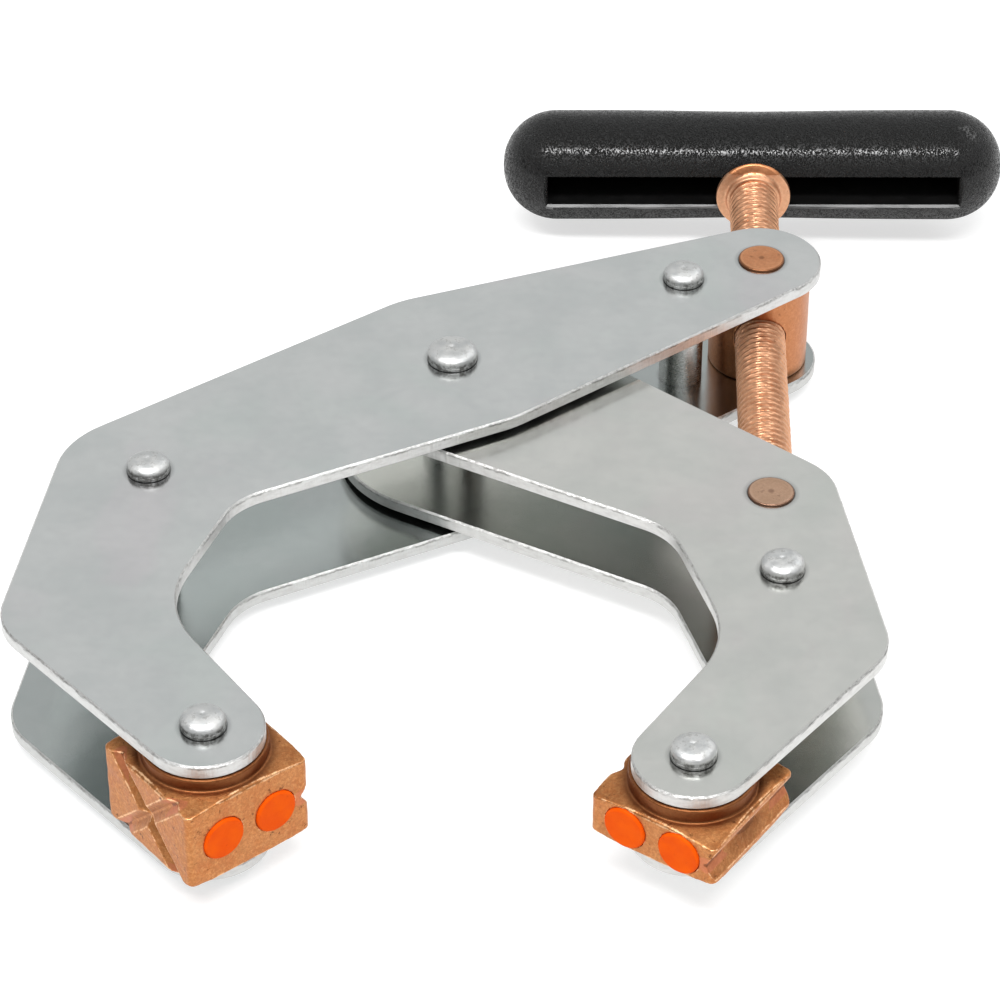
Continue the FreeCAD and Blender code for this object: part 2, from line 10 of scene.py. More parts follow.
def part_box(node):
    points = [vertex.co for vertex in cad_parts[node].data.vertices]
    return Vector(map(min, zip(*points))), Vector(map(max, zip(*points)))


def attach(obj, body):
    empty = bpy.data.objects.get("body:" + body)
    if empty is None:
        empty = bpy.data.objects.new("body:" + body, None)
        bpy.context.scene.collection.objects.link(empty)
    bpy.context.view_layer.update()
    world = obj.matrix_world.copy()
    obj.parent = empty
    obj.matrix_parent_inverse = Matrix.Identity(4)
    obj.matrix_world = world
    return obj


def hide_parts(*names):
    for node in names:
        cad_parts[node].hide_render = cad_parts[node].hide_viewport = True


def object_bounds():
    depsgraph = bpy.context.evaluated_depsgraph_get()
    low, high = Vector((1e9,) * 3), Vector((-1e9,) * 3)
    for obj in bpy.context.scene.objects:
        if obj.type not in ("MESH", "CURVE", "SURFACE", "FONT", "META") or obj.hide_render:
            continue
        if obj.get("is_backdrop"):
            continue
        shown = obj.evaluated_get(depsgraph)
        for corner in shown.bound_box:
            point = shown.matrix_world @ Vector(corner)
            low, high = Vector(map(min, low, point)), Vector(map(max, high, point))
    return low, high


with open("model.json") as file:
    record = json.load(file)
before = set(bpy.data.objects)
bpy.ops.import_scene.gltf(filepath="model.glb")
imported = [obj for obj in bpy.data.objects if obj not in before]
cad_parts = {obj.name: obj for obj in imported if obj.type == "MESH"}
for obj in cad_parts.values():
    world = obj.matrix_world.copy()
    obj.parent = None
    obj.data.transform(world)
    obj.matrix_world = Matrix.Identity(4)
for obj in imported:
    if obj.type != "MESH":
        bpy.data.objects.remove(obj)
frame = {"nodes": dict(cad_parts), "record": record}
cad_low, cad_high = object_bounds()

MM = 0.001
WELD = 1e-6
ON_AXIS = 1e-7
SHARP = math.radians(32)
FAR = 1.0
NODES = frame["nodes"]
BODY_OF = {n: body for body, names in frame["record"]["behaviour"]["bodies"].items() for n in names}
SLOT_OF = {s["node"]: s["material_slot"] for s in frame["record"]["subparts"]}


# ---------------------------------------------------------------- mesh tools


def new_object(name, mesh):
    obj = bpy.data.objects.new(name, mesh)
    bpy.context.scene.collection.objects.link(obj)
    return obj


def smooth_up_to(bm, angle):
    """Smooth faces, except across edges sharper than angle."""
    for face in bm.faces:
        face.smooth = True
    for edge in bm.edges:
        edge.smooth = not (edge.is_manifold and edge.calc_face_angle(0) > angle)


def from_bmesh(name, bm, smooth=True):
    """An object made from a bmesh, flat or smooth except across sharp edges."""
    bmesh.ops.recalc_face_normals(bm, faces=bm.faces)
    if smooth:
        smooth_up_to(bm, SHARP)
    mesh = bpy.data.meshes.new(name)
    bm.to_mesh(mesh)
    bm.free()
    return new_object(name, mesh)


def stands_for(piece, material, *nodes):
    """The piece takes the place of these CAD nodes, on their body, and is painted."""
    piece.data.materials.clear()
    piece.data.materials.append(material)
    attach(piece, BODY_OF[nodes[0]])
    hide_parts(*nodes)
    return piece


def applied(obj):
    """The object with its modifiers applied to its mesh."""
    graph = bpy.context.evaluated_depsgraph_get()
    mesh = bpy.data.meshes.new_from_object(obj.evaluated_get(graph))
    old = obj.data
    obj.modifiers.clear()
    obj.data = mesh
    bpy.data.meshes.remove(old)
    return obj


def cad_copy(node):
    """A bmesh of a CAD node with its seams welded."""
    bm = bmesh.new()
    bm.from_mesh(NODES[node].data)
    bmesh.ops.remove_doubles(bm, verts=bm.verts, dist=WELD)
    return bm


def lathe(bm, profile, centre, axis, steps=96):
    """Turns (radius, height) points round an axis through centre. A profile that closes the piece starts and
    ends on the axis, or else where it began."""
    turn = Vector((0, 0, 1)).rotation_difference(Vector(axis)).to_matrix()
    rings = []
    for r, h in profile:
        angles = [2 * math.pi * k / steps for k in range(steps)] if r >= ON_AXIS else [0.0]
        rings.append([
            bm.verts.new(Vector(centre) + turn @ Vector((r * math.cos(a), r * math.sin(a), h))) for a in angles
        ])
    for low, high in zip(rings, rings[1:]):
        for k in range(steps):
            corners = [ring[(k + n) % len(ring)] for ring, n in ((low, 0), (low, 1), (high, 1), (high, 0))]
            corners = [v for i, v in enumerate(corners) if v not in corners[:i]]
            if len(corners) > 2:
                bm.faces.new(corners)


def rough_up(obj, height, scale, seed=0.0):
    """Moves the vertices up to height along their normals, in lumps of scale, both in millimetres."""
    shift = Vector((seed, seed, seed))
    moved = []
    for v in obj.data.vertices:
        p = v.co * (1 / (scale * MM)) + shift
        moved += (v.co + v.normal * (noise.noise(p) * height * MM))[:]
    obj.data.vertices.foreach_set("co", moved)
    obj.data.update()
    return obj


def softened(node, name, voxel, rounds):
    """The CAD node's shape as an even mesh of voxel millimetres, with its edges worn round."""
    obj = from_bmesh(name, cad_copy(node))
    even = obj.modifiers.new("even", "REMESH")
    even.mode = "VOXEL"
    even.voxel_size = voxel * MM
    even.use_smooth_shade = True
    worn = obj.modifiers.new("worn", "SMOOTH")
    worn.factor = 0.5
    worn.iterations = rounds
    return applied(obj)


def squared(obj, centre, inner, outer, depth):
    """Flattens the piece's top and bottom again, after softening, between two radii round an upright axis."""
    heights = [v.co.z for v in obj.data.vertices]
    low, high = min(heights), max(heights)
    for v in obj.data.vertices:
        if inner < math.hypot(v.co.x - centre[0], v.co.y - centre[1]) < outer:
            if v.co.z > high - depth:
                v.co.z = high
            elif v.co.z < low + depth:
                v.co.z = low
    return obj


def edge_points(node, convex):
    """A search tree of close points along the CAD node's sharp edges, outward or inward ones."""
    spacing, least_angle = 0.15 * MM, math.radians(28)
    bm = cad_copy(node)
    points = []
    for edge in bm.edges:
        if edge.is_manifold and edge.calc_face_angle(0) > least_angle and edge.is_convex == convex:
            a, b = edge.verts[0].co, edge.verts[1].co
            steps = max(1, int((b - a).length / spacing))
            points += [a.lerp(b, k / steps) for k in range(steps + 1)]
    bm.free()
    tree = kdtree.KDTree(len(points))
    for k, point in enumerate(points):
        tree.insert(point, k)
    tree.balance()
    return tree


def marked(obj, name, value):
    """Stores value(vertex) with the mesh, for the materials to read."""
    kept = obj.data.attributes.new(name, "FLOAT", "POINT")
    kept.data.foreach_set("value", [value(v) for v in obj.data.vertices])
    return obj


def edges_marked(obj, node, boss=None):
    """Marks where the piece is near the CAD node's outward edges (rubbed) and inward edges (valley).
    Beside a boss, given as its centre and radius, it is neither, and the plate on the boss shades it."""
    at_foot, shade_reach, steepness = 0.2 * MM, 2.8 * MM, 1.3

    def clear_of_boss(v):
        return math.hypot(v.co.x - boss[0], v.co.y - boss[1]) - boss[2] if boss else FAR

    def nearness(tree, reach, margin):
        def value(v):
            away = tree.find(v.co)[2] or FAR
            return max(0.0, 1.0 - away / reach) if clear_of_boss(v) > margin else 0.0

        return value

    def shade(v):
        clear = clear_of_boss(v)
        if clear < at_foot:
            return 1.0
        return max(0.0, 1.0 - clear / shade_reach) * min(1.0, steepness * abs(v.normal.z))

    marked(obj, "rubbed", nearness(edge_points(node, True), reach=0.45 * MM, margin=0.4 * MM))
    marked(obj, "valley", nearness(edge_points(node, False), reach=2.3 * MM, margin=2.4 * MM))
    return marked(obj, "shade", shade)


# ---------------------------------------------------------------- material tools


class Paint:
    """A node material that is built up step by step."""

    def __init__(self, name):
        self.material = bpy.data.materials.new(name)
        self.material.use_nodes = True
        self.tree = self.material.node_tree
        self.tree.nodes.clear()
        self.shader = self.node("ShaderNodeBsdfPrincipled")
        out = self.node("ShaderNodeOutputMaterial")
        self.link(self.shader.outputs["BSDF"], out.inputs["Surface"])
        self.place = self.node("ShaderNodeTexCoord")

    def node(self, kind, **values):
        made = self.tree.nodes.new(kind)
        for key, value in values.items():
            setattr(made, key, value)
        return made

    def link(self, a, b):
        self.tree.links.new(a, b)

    def feed(self, value, socket):
        """Puts a number, a colour or another node's output into a socket."""
        if isinstance(value, bpy.types.NodeSocket):
            self.link(value, socket)
        else:
            socket.default_value = value

    def stretched(self, scale):
        """Object coordinates in millimetres, stretched by scale."""
        mapping = self.node("ShaderNodeMapping")
        self.link(self.place.outputs["Object"], mapping.inputs["Vector"])
        mapping.inputs["Scale"].default_value = [s / MM for s in scale]
        return mapping.outputs["Vector"]

    def noise(self, size, detail, rough, stretch=(1, 1, 1), twist=0.0):
        """Noise from 0 to 1 with lumps about size millimetres across."""
        made = self.node("ShaderNodeTexNoise")
        self.link(self.stretched([s / size for s in stretch]), made.inputs["Vector"])
        made.inputs["Scale"].default_value = 1.0
        made.inputs["Detail"].default_value = detail
        made.inputs["Roughness"].default_value = rough
        made.inputs["Distortion"].default_value = twist
        return made.outputs["Fac"]

    def ramp(self, value, low, high, to_low=0.0, to_high=1.0):
        """Goes smoothly from to_low, where value is low, to to_high, where it is high."""
        made = self.node("ShaderNodeMapRange", interpolation_type="SMOOTHSTEP")
        self.link(value, made.inputs["Value"])
        made.inputs["From Min"].default_value = low
        made.inputs["From Max"].default_value = high
        made.inputs["To Min"].default_value = to_low
        made.inputs["To Max"].default_value = to_high
        return made.outputs["Result"]

    def maths(self, how, a, b=0.0):
        made = self.node("ShaderNodeMath", operation=how)
        self.feed(a, made.inputs[0])
        self.feed(b, made.inputs[1])
        return made.outputs[0]

    def times(self, *factors):
        product = factors[0]
        for factor in factors[1:]:
            product = self.maths("MULTIPLY", product, factor)
        return product

    def plus(self, a, b):
        return self.maths("ADD", a, b)

    def minus(self, a, b):
        return self.maths("SUBTRACT", a, b)

    def mix(self, amount, a, b, how="MIX"):
        """The colour a, with amount of b over it."""
        made = self.node("ShaderNodeMix", data_type="RGBA", blend_type=how)
        self.feed(amount, made.inputs[0])
        self.feed((*a, 1) if isinstance(a, tuple) else a, made.inputs[6])
        self.feed((*b, 1) if isinstance(b, tuple) else b, made.inputs[7])
        return made.outputs[2]

    def bump(self, height, depth, under=None):
        """Bumps of depth millimetres, on top of the bumps under them."""
        made = self.node("ShaderNodeBump")
        self.link(height, made.inputs["Height"])
        made.inputs["Distance"].default_value = depth * MM
        made.inputs["Strength"].default_value = 1.0
        if under is not None:
            self.link(under, made.inputs["Normal"])
        return made.outputs["Normal"]

    def stored(self, name):
        """A number kept with the mesh by marked()."""
        return self.node("ShaderNodeAttribute", attribute_name=name).outputs["Fac"]

    def along(self, axis):
        """The object's own coordinate along an axis, in millimetres."""
        split = self.node("ShaderNodeSeparateXYZ")
        self.link(self.place.outputs["Object"], split.inputs[0])
        return self.times(split.outputs[axis], 1 / MM)

    def off(self, x, y):
        """How far a point is from an upright axis at x and y, in millimetres."""
        across = [self.maths("POWER", self.minus(self.along(k), c / MM), 2.0) for k, c in ((0, x), (1, y))]
        return self.maths("SQRT", self.plus(*across))

    def facing(self, axis):
        """How squarely the surface faces along the object's own axis, 0 to 1, either way."""
        split = self.node("ShaderNodeSeparateXYZ")
        self.link(self.place.outputs["Normal"], split.inputs[0])
        return self.maths("ABSOLUTE", split.outputs[axis])

    def finish(self, colour, roughness, normal=None, metallic=1.0, **others):
        """The material. others are plain values for the shader's other sockets."""
        self.feed((*colour, 1) if isinstance(colour, tuple) else colour, self.shader.inputs["Base Color"])
        self.feed(roughness, self.shader.inputs["Roughness"])
        self.shader.inputs["Metallic"].default_value = metallic
        for key, value in others.items():
            self.shader.inputs[key.replace("_", " ")].default_value = value
        if normal is not None:
            self.link(normal, self.shader.inputs["Normal"])
        return self.material


def grey(level):
    return (level, level, level)


def blend(share, a, b):
    """The colour a, with that share of b in it."""
    return tuple((1 - share) * x + share * y for x, y in zip(a, b))


def shade_and_dirt_round(p, colour, circles):
    """Darkens the sheet round each circle: widely and faintly with painted shade and dirt, and close to it in a
    thin ring of painted shadow.
    """
    for x, y, r in circles:
        reach = p.minus(p.off(x, y), r / MM)
        colour = p.mix(p.ramp(reach, 1.3, 0.0, 0.0, 0.38), colour, grey(0.12))
        colour = p.mix(p.ramp(reach, 0.30, 0.12, 0.0, 0.55), colour, grey(0.05))
    return colour


def zinc_plate(name, top, tint_and_shade, circles):
    """Zinc plated sheet: satin, cloudy, with a trace of pink and green, and bright sheared edges.
    top is the height of the sheet's upper face: the shearing left a dark, chipped line below it.
    The tint multiplies all of it, and darkens the lower plates with painted shade. circles are the centres and
    radii of the heads and pins on it, round which painted shade and dirt darken it."""
    p = Paint(name)
    clouds = p.noise(14, 5, 0.55)
    tints = p.noise(38, 3, 0.5, twist=0.8)
    mottle = p.noise(2.6, 3, 0.55)
    colour = p.mix(p.ramp(clouds, 0.3, 0.7), (0.64, 0.66, 0.655), (0.70, 0.71, 0.705))
    colour = p.mix(p.ramp(tints, 0.54, 0.72, 0, 0.35), colour, (0.72, 0.66, 0.69))
    colour = p.mix(p.ramp(tints, 0.46, 0.30, 0, 0.35), colour, (0.63, 0.69, 0.66))
    colour = p.mix(p.ramp(mottle, 0.35, 0.75, 0.0, 0.14), colour, (0.56, 0.57, 0.565))
    # the tint, which on the lower plates is painted shade
    colour = p.mix(1.0, colour, tint_and_shade, "MULTIPLY")
    # painted shade and dirt round the heads and pins
    colour = shade_and_dirt_round(p, colour, circles)

    # the sheared sides, and the corner between side and face, which is chipped
    level = p.facing(2)
    sheared = p.ramp(level, 0.97, 0.80)
    corner = p.times(sheared, p.ramp(level, 0.15, 0.40))
    streaks = p.noise(0.55, 4, 0.6, stretch=(1, 1, 0.12))
    side_marks = p.ramp(p.noise(1.2, 4, 0.7, stretch=(0.5, 0.5, 1.6)), 0.40, 0.66)
    colour = p.mix(p.times(sheared, 0.75), colour, (0.60, 0.60, 0.59))
    colour = p.mix(p.times(sheared, side_marks, 0.35), colour, (0.40, 0.39, 0.38))

    # the ragged line where the sheet tore, broken up along its length
    ragged = p.noise(1.5, 4, 0.7, stretch=(1, 1, 0.5))
    below = p.plus(p.minus(top / MM, p.along(2)), p.times(ragged, 1.1))
    line = p.times(p.ramp(below, 0.75, 0.95), p.ramp(below, 1.45, 1.15))
    torn = p.times(sheared, line, p.ramp(p.noise(3.5, 3, 0.6), 0.40, 0.62))
    colour = p.mix(p.times(torn, 0.75), colour, (0.20, 0.20, 0.19))
    chips = p.ramp(p.noise(0.8, 5, 0.75), 0.48, 0.60)
    chips = p.times(chips, p.ramp(p.noise(9, 3, 0.6), 0.42, 0.58, 0.15, 1.0))
    colour = p.mix(p.times(corner, chips, 0.6), colour, (0.26, 0.25, 0.24))
    colour = p.mix(p.times(sheared, p.ramp(streaks, 0.55, 0.68), 0.25), colour, (0.50, 0.48, 0.46))

    rough = p.ramp(clouds, 0.25, 0.75, 0.17, 0.24)
    rough = p.plus(rough, p.times(sheared, 0.20))
    normal = p.bump(p.noise(0.5, 2, 0.5), 0.003)
    normal = p.bump(p.noise(9, 3, 0.5), 0.05, under=normal)
    normal = p.bump(p.times(streaks, sheared), 0.12, under=normal)
    return p.finish(colour, rough, normal)


def steel_rivet():
    """Zinc plated rivets, with hammer marks on the heads, a band darkened by scuffs and painted shade where
    each meets its plate, and a painted contact shadow at its foot.
    """
    p = Paint("steel_rivet")
    clouds = p.noise(2.2, 4, 0.6)
    marks = p.noise(1.1, 4, 0.7)
    band = p.stored("band")
    patches = p.ramp(marks, 0.40, 0.58)
    colour = p.mix(p.ramp(clouds, 0.3, 0.7), (0.53, 0.54, 0.54), (0.63, 0.63, 0.62))
    colour = p.mix(p.times(p.ramp(marks, 0.54, 0.64), 0.45), colour, (0.26, 0.26, 0.25))
    # the band near the plate: darkened by scuffs and painted shade
    scuffed_and_shaded_band = p.times(p.ramp(band, 0.0, 0.35), p.plus(0.45, p.times(patches, 0.5)))
    colour = p.mix(scuffed_and_shaded_band, colour, (0.10, 0.10, 0.095))
    # a painted contact shadow where the head meets the plate
    colour = p.mix(p.ramp(band, 0.85, 1.0, 0, 0.9), colour, grey(0.03))
    return p.finish(colour, p.ramp(clouds, 0.3, 0.7, 0.44, 0.56), p.bump(marks, 0.12))


def copper(name, base, pale, dark, wear, rough, grain, specked=0.5, pin=None):
    """Copper plating over rough steel, speckled. With wear, it is pale where it is rubbed, salmon in its
    valleys, and darkened with painted shade deep in its valleys and under a plate, as edges_marked() says.
    pin is the centre and radius of an upright pin's end: it gets a painted highlight ring, a painted shadow
    ring at its rim, and a dark spot of painted shade for its punch mark."""
    p = Paint(name)
    clouds = p.noise(5, 5, 0.65)
    grains = p.ramp(p.noise(0.62, 3, 0.8), 0.38, 0.60)
    pits = p.ramp(p.noise(1.5, 5, 0.7), 0.60, 0.68)
    colour = p.mix(p.ramp(clouds, 0.32, 0.68), base, blend(0.4, base, pale))
    colour = p.mix(p.ramp(p.noise(0.9, 3, 0.7), 0.48, 0.62, 0, 0.35), colour, pale)
    colour = p.mix(p.times(grains, 0.55 * specked), colour, blend(0.45, dark, base))
    colour = p.mix(p.times(pits, specked), colour, dark)
    if wear:
        valley = p.stored("valley")
        colour = p.mix(p.ramp(valley, 0.12, 0.30, 0, 0.6), colour, (0.54, 0.175, 0.092))
        # painted shade deep in the valleys, broken up by noise
        valley_shade = p.plus(valley, p.ramp(p.noise(1.3, 4, 0.65), 0.3, 0.7, -0.06, 0.06))
        colour = p.mix(p.ramp(valley_shade, 0.76, 0.92, 0, 0.65), colour, dark)
        # painted shade under a plate, from the shade mark
        colour = p.mix(p.ramp(p.stored("shade"), 0.0, 1.0, 0, 0.82), colour, tuple(1.5 * c for c in dark))
        rubbed = p.plus(p.stored("rubbed"), p.ramp(p.noise(1.6, 4, 0.7), 0.3, 0.7, -0.6, 0.2))
        colour = p.mix(p.ramp(rubbed, 0.3, 0.8, 0, wear), colour, (0.95, 0.62, 0.36))
    if pin:
        x, y, radius = pin
        rim = radius / MM
        reach = p.off(x, y)
        # a painted highlight ring inside the rim, a painted shadow ring at the rim, and a dark spot of painted
        # shade for the punch mark
        colour = p.mix(p.ramp(reach, rim - 0.95, rim - 0.65, 0, 0.45), colour, pale)
        colour = p.mix(p.ramp(reach, rim - 0.50, rim - 0.20, 0, 0.85), colour, dark)
        colour = p.mix(p.ramp(reach, 0.85, 0.35, 0, 0.55), colour, dark)
    normal = p.bump(p.noise(0.6, 3, 0.6), grain)
    normal = p.bump(p.noise(2.5, 4, 0.6), grain * 3, under=normal)
    return p.finish(colour, p.ramp(clouds, 0.3, 0.7, rough, rough + 0.12), normal)


def handle_plastic():
    """Black moulded plastic with a fine leather grain, polished except in its creases and underneath."""
    p = Paint("handle_plastic")
    grain = p.noise(0.72, 2, 0.5, stretch=(1.25, 0.9, 0.9), twist=0.6)
    ridges = p.maths("ABSOLUTE", p.minus(grain, 0.5))
    creases = p.ramp(ridges, 0.0, 0.09)
    colour = p.mix(p.ramp(p.noise(18, 3, 0.5), 0.3, 0.7), grey(0.002), grey(0.004))
    under = p.ramp(p.along(2), 16.0, 7.0)
    rough = p.plus(p.ramp(creases, 0.25, 0.85, 0.60, 0.20), p.times(under, 0.35))
    return p.finish(colour, rough, p.bump(creases, 0.8), metallic=0.0, Specular_IOR_Level=0.45)


def lip_plastic():
    """The moulded lip of the slot: the same plastic, smooth, with a painted highlight along its edge, in pale
    patches.
    """
    p = Paint("lip_plastic")
    patches = p.ramp(p.noise(2.0, 3, 0.6, stretch=(0.2, 1, 1)), 0.35, 0.6)
    # pale patches: a painted highlight along the lip
    colour = p.mix(patches, grey(0.01), grey(0.11))
    return p.finish(colour, 0.3, metallic=0.0, Specular_IOR_Level=0.5)


def slot_plastic():
    """The inside of the handle's slot: the same plastic, dull and unpolished."""
    p = Paint("slot_plastic")
    clouds = p.noise(2.5, 3, 0.6)
    colour = p.mix(p.ramp(clouds, 0.3, 0.7), grey(0.003), grey(0.005))
    return p.finish(colour, p.ramp(clouds, 0.3, 0.7, 0.5, 0.7), metallic=0.0, Specular_IOR_Level=0.12)


def orange_plug():
    """The soft pads: matt orange plastic, a little soiled and uneven."""
    p = Paint("orange_plug")
    clouds = p.noise(4, 4, 0.6)
    colour = p.mix(p.ramp(clouds, 0.3, 0.7), (0.70, 0.074, 0.001), (0.75, 0.096, 0.002))
    colour = p.mix(p.ramp(p.noise(0.8, 4, 0.6), 0.62, 0.78, 0, 0.35), colour, (0.40, 0.03, 0.004))
    normal = p.bump(p.noise(0.4, 3, 0.5), 0.012)
    normal = p.bump(p.noise(3, 2, 0.5), 0.05, under=normal)
    rough = p.ramp(clouds, 0.3, 0.7, 0.5, 0.62)
    return p.finish(colour, rough, normal, metallic=0.0, Specular_IOR_Level=0.04)


def plain_steel():
    """Turned bright steel, with fine rings round the clamp's pivot direction."""
    p = Paint("plain_steel")
    lines = p.noise(0.22, 3, 0.6, stretch=(0.25, 0.25, 1.6))
    clouds = p.noise(3, 4, 0.6)
    colour = p.mix(p.ramp(clouds, 0.3, 0.7), (0.48, 0.48, 0.47), (0.62, 0.62, 0.61))
    return p.finish(colour, p.ramp(lines, 0.3, 0.7, 0.22, 0.34), p.bump(lines, 0.01))


def pin_end(node):
    """The centre and the radius of the round end on top of a CAD node."""
    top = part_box(node)[1].z
    ends = [v.co for v in NODES[node].data.vertices if v.co.z > top - 0.05 * MM]
    low_x, high_x = min(v.x for v in ends), max(v.x for v in ends)
    low_y, high_y = min(v.y for v in ends), max(v.y for v in ends)
    return (low_x + high_x) / 2, (low_y + high_y) / 2, (high_x - low_x) / 2


RIVET = steel_rivet()
JAW = copper(
    "copper_cast", base=(0.48, 0.175, 0.058), pale=(0.68, 0.35, 0.14), dark=(0.10, 0.034, 0.013),
    wear=0.65, rough=0.38, grain=0.04, specked=0.8,
)
NUT = copper(
    "copper_turned", base=(0.47, 0.187, 0.080), pale=(0.60, 0.28, 0.14), dark=(0.15, 0.050, 0.022),
    wear=0.35, rough=0.34, grain=0.012,
)
THREAD = copper(
    "copper_rolled", base=(0.68, 0.35, 0.20), pale=(0.78, 0.48, 0.30), dark=(0.24, 0.09, 0.042),
    wear=0.0, rough=0.38, grain=0.012,
)
NUT_PIN = copper(
    "copper_pin", base=(0.62, 0.26, 0.12), pale=(0.72, 0.36, 0.19), dark=(0.17, 0.07, 0.034),
    wear=0.0, rough=0.34, grain=0.012, specked=0.45, pin=pin_end("trunnion_nut"),
)
SOCKET_PIN = copper(
    "tarnished_pin", base=(0.52, 0.33, 0.22), pale=(0.58, 0.39, 0.28), dark=(0.17, 0.09, 0.06),
    wear=0.0, rough=0.36, grain=0.012, specked=0.45, pin=pin_end("trunnion_socket"),
)
BLACK = handle_plastic()
SLOT = slot_plastic()
LIP = lip_plastic()
ORANGE = orange_plug()
STEEL = plain_steel()

# each arm's plates, upper and lower: they differ a little in tint, and the lower plates are darker with painted
# shade
TINTS_AND_SHADE = {
    ("outer", True): (1.0, 1.0, 1.0), ("inner", True): (1.06, 1.04, 1.005),
    ("outer", False): (0.69, 0.72, 0.715), ("inner", False): (0.88, 0.88, 0.85),
}


def plate_circles(arm, upper):
    """The centres and radii of the rivet heads on an arm's plate, and of the pin's end in its upper plate."""
    circles = [pin_end("trunnion_nut" if arm == "outer" else "trunnion_socket")] if upper else []
    for head in NODES:
        if head.endswith("_rivet") and (head.startswith(arm) or head == "pivot_rivet"):
            low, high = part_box(head)
            circles.append(((low.x + high.x) / 2, (low.y + high.y) / 2, (high.x - low.x) / 2))
    return circles


def painted(node, paint):
    NODES[node].data.materials.clear()
    NODES[node].data.materials.append(paint)


for node, slot in SLOT_OF.items():
    if "plate" in node:
        arm, upper = node.split("_")[0], node.endswith("top")
        circles = plate_circles(arm, upper)
        painted(node, zinc_plate("zinc_" + node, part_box(node)[1].z, TINTS_AND_SHADE[arm, upper], circles))
    elif "spacer" in node or slot == "plain_steel":
        painted(node, STEEL)


# ---------------------------------------------------------------- rivets

# the heads' outlines from the plate up, as shares of the head's radius and height, ending in the punch's dimple
FOOT = [(0.985, 0.00), (1.0, 0.03), (1.0, 0.24), (0.985, 0.255), (0.985, 0.275), (1.0, 0.29)]
ROUND = FOOT + [
    (1.0, 0.42), (0.99, 0.50), (0.965, 0.58), (0.925, 0.665), (0.865, 0.745), (0.785, 0.82), (0.68, 0.885),
    (0.56, 0.935), (0.43, 0.97), (0.30, 0.985), (0.15, 0.995), (0.095, 0.965), (0.0, 0.93),
]
FLAT = FOOT + [
    (1.0, 0.52), (0.99, 0.60), (0.965, 0.675), (0.92, 0.75), (0.86, 0.82), (0.79, 0.88), (0.71, 0.93),
    (0.62, 0.96), (0.50, 0.98), (0.35, 0.99), (0.20, 0.995), (0.13, 0.99), (0.09, 0.955), (0.0, 0.93),
]
HEAD_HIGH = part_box("outer_arm_plate_bottom")[0].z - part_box("pivot_rivet")[0].z
PIVOT_SHANK, SHANK = 4.0 * MM, 3.0 * MM
# the height of the band that is darkened with scuffs and painted shade
SCUFFED_AND_SHADED_BAND = 0.62 * HEAD_HIGH
SEEDS_PER_METRE = 900


def rivet(node, shank, shape):
    """A round rivet with a formed head on both plates and the punch's dimple in each."""
    low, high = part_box(node)
    middle = (low + high) / 2
    radius = (high.x - low.x) / 2
    plate = (high.z - low.z) / 2 - HEAD_HIGH
    upper = [(r * radius, plate + h * HEAD_HIGH) for r, h in shape]
    profile = [(r, -h) for r, h in reversed(upper)] + [(shank, -plate), (shank, plate)] + upper

    # the band near the plate, which the material darkens with scuffs and painted shade
    def band(v):
        above_plate = abs(v.co.z - middle.z) - plate
        return min(1.0, max(0.0, 1.0 - above_plate / SCUFFED_AND_SHADED_BAND))

    bm = bmesh.new()
    lathe(bm, profile, middle, (0, 0, 1))
    piece = marked(from_bmesh(node + "_formed", bm), "band", band)
    rough_up(piece, height=0.07, scale=1.6, seed=middle.x * SEEDS_PER_METRE)
    return stands_for(piece, RIVET, node)


rivet("pivot_rivet", PIVOT_SHANK, FLAT)
for spot, shape in (("outer_elbow", ROUND), ("outer_post", ROUND), ("outer_jaw", ROUND), ("inner_elbow", FLAT),
                    ("inner_jaw", FLAT)):
    rivet(spot + "_rivet", SHANK, shape)


# ---------------------------------------------------------------- screw, collar and handle

collar_low, collar_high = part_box("screw_collar")
axis_x, axis_z = (collar_low.x + collar_high.x) / 2, (collar_low.z + collar_high.z) / 2


def threaded_screw():
    """The screw: its neck and its eye as in CAD, and a rolled helical thread between them."""
    pitch, major, depth = 25.4 / 14 * MM, 5.5 * MM, 0.68 * MM
    crest, flank, run_out = 0.10, 0.26, 0.6
    rows_per_turn, steps = 14, 72
    neck, under_collar, inset = 4.4 * MM, 0.2 * MM, 0.01 * MM
    socket_low, socket_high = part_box("trunnion_socket")
    first = (socket_low.y + socket_high.y) / 2 + neck
    last = collar_low.y - under_collar
    bm = cad_copy("clamp_screw")
    for y in (first, last):
        whole = bm.verts[:] + bm.edges[:] + bm.faces[:]
        bmesh.ops.bisect_plane(bm, geom=whole, plane_co=(0, y, 0), plane_no=(0, 1, 0))
    gone = [f for f in bm.faces if first + inset < f.calc_center_median().y < last - inset]
    bmesh.ops.delete(bm, geom=gone, context="FACES")

    count = int((last - first) / pitch * rows_per_turn)
    rings = []
    for j in range(count + 1):
        y = first + (last - first) * j / count
        fade = min(1.0, (y - first) / pitch, (last - y) / (run_out * pitch))
        ring = []
        for k in range(steps):
            a = 2 * math.pi * k / steps
            phase = ((y - first) / pitch + k / steps) % 1.0
            groove = min(1.0, max(0.0, (abs(phase - 0.5) - crest) / flank))
            r = major - depth * max(0.0, fade) * (0.5 + 0.5 * math.cos(math.pi * groove))
            ring.append(bm.verts.new((axis_x + r * math.cos(a), y, axis_z + r * math.sin(a))))
        rings.append(ring)
    for low, high in zip(rings, rings[1:]):
        for k in range(steps):
            bm.faces.new((low[k], low[(k + 1) % steps], high[(k + 1) % steps], high[k]))
    screw = rough_up(from_bmesh("screw_threaded", bm), height=0.10, scale=1.3)
    return stands_for(screw, THREAD, "clamp_screw")


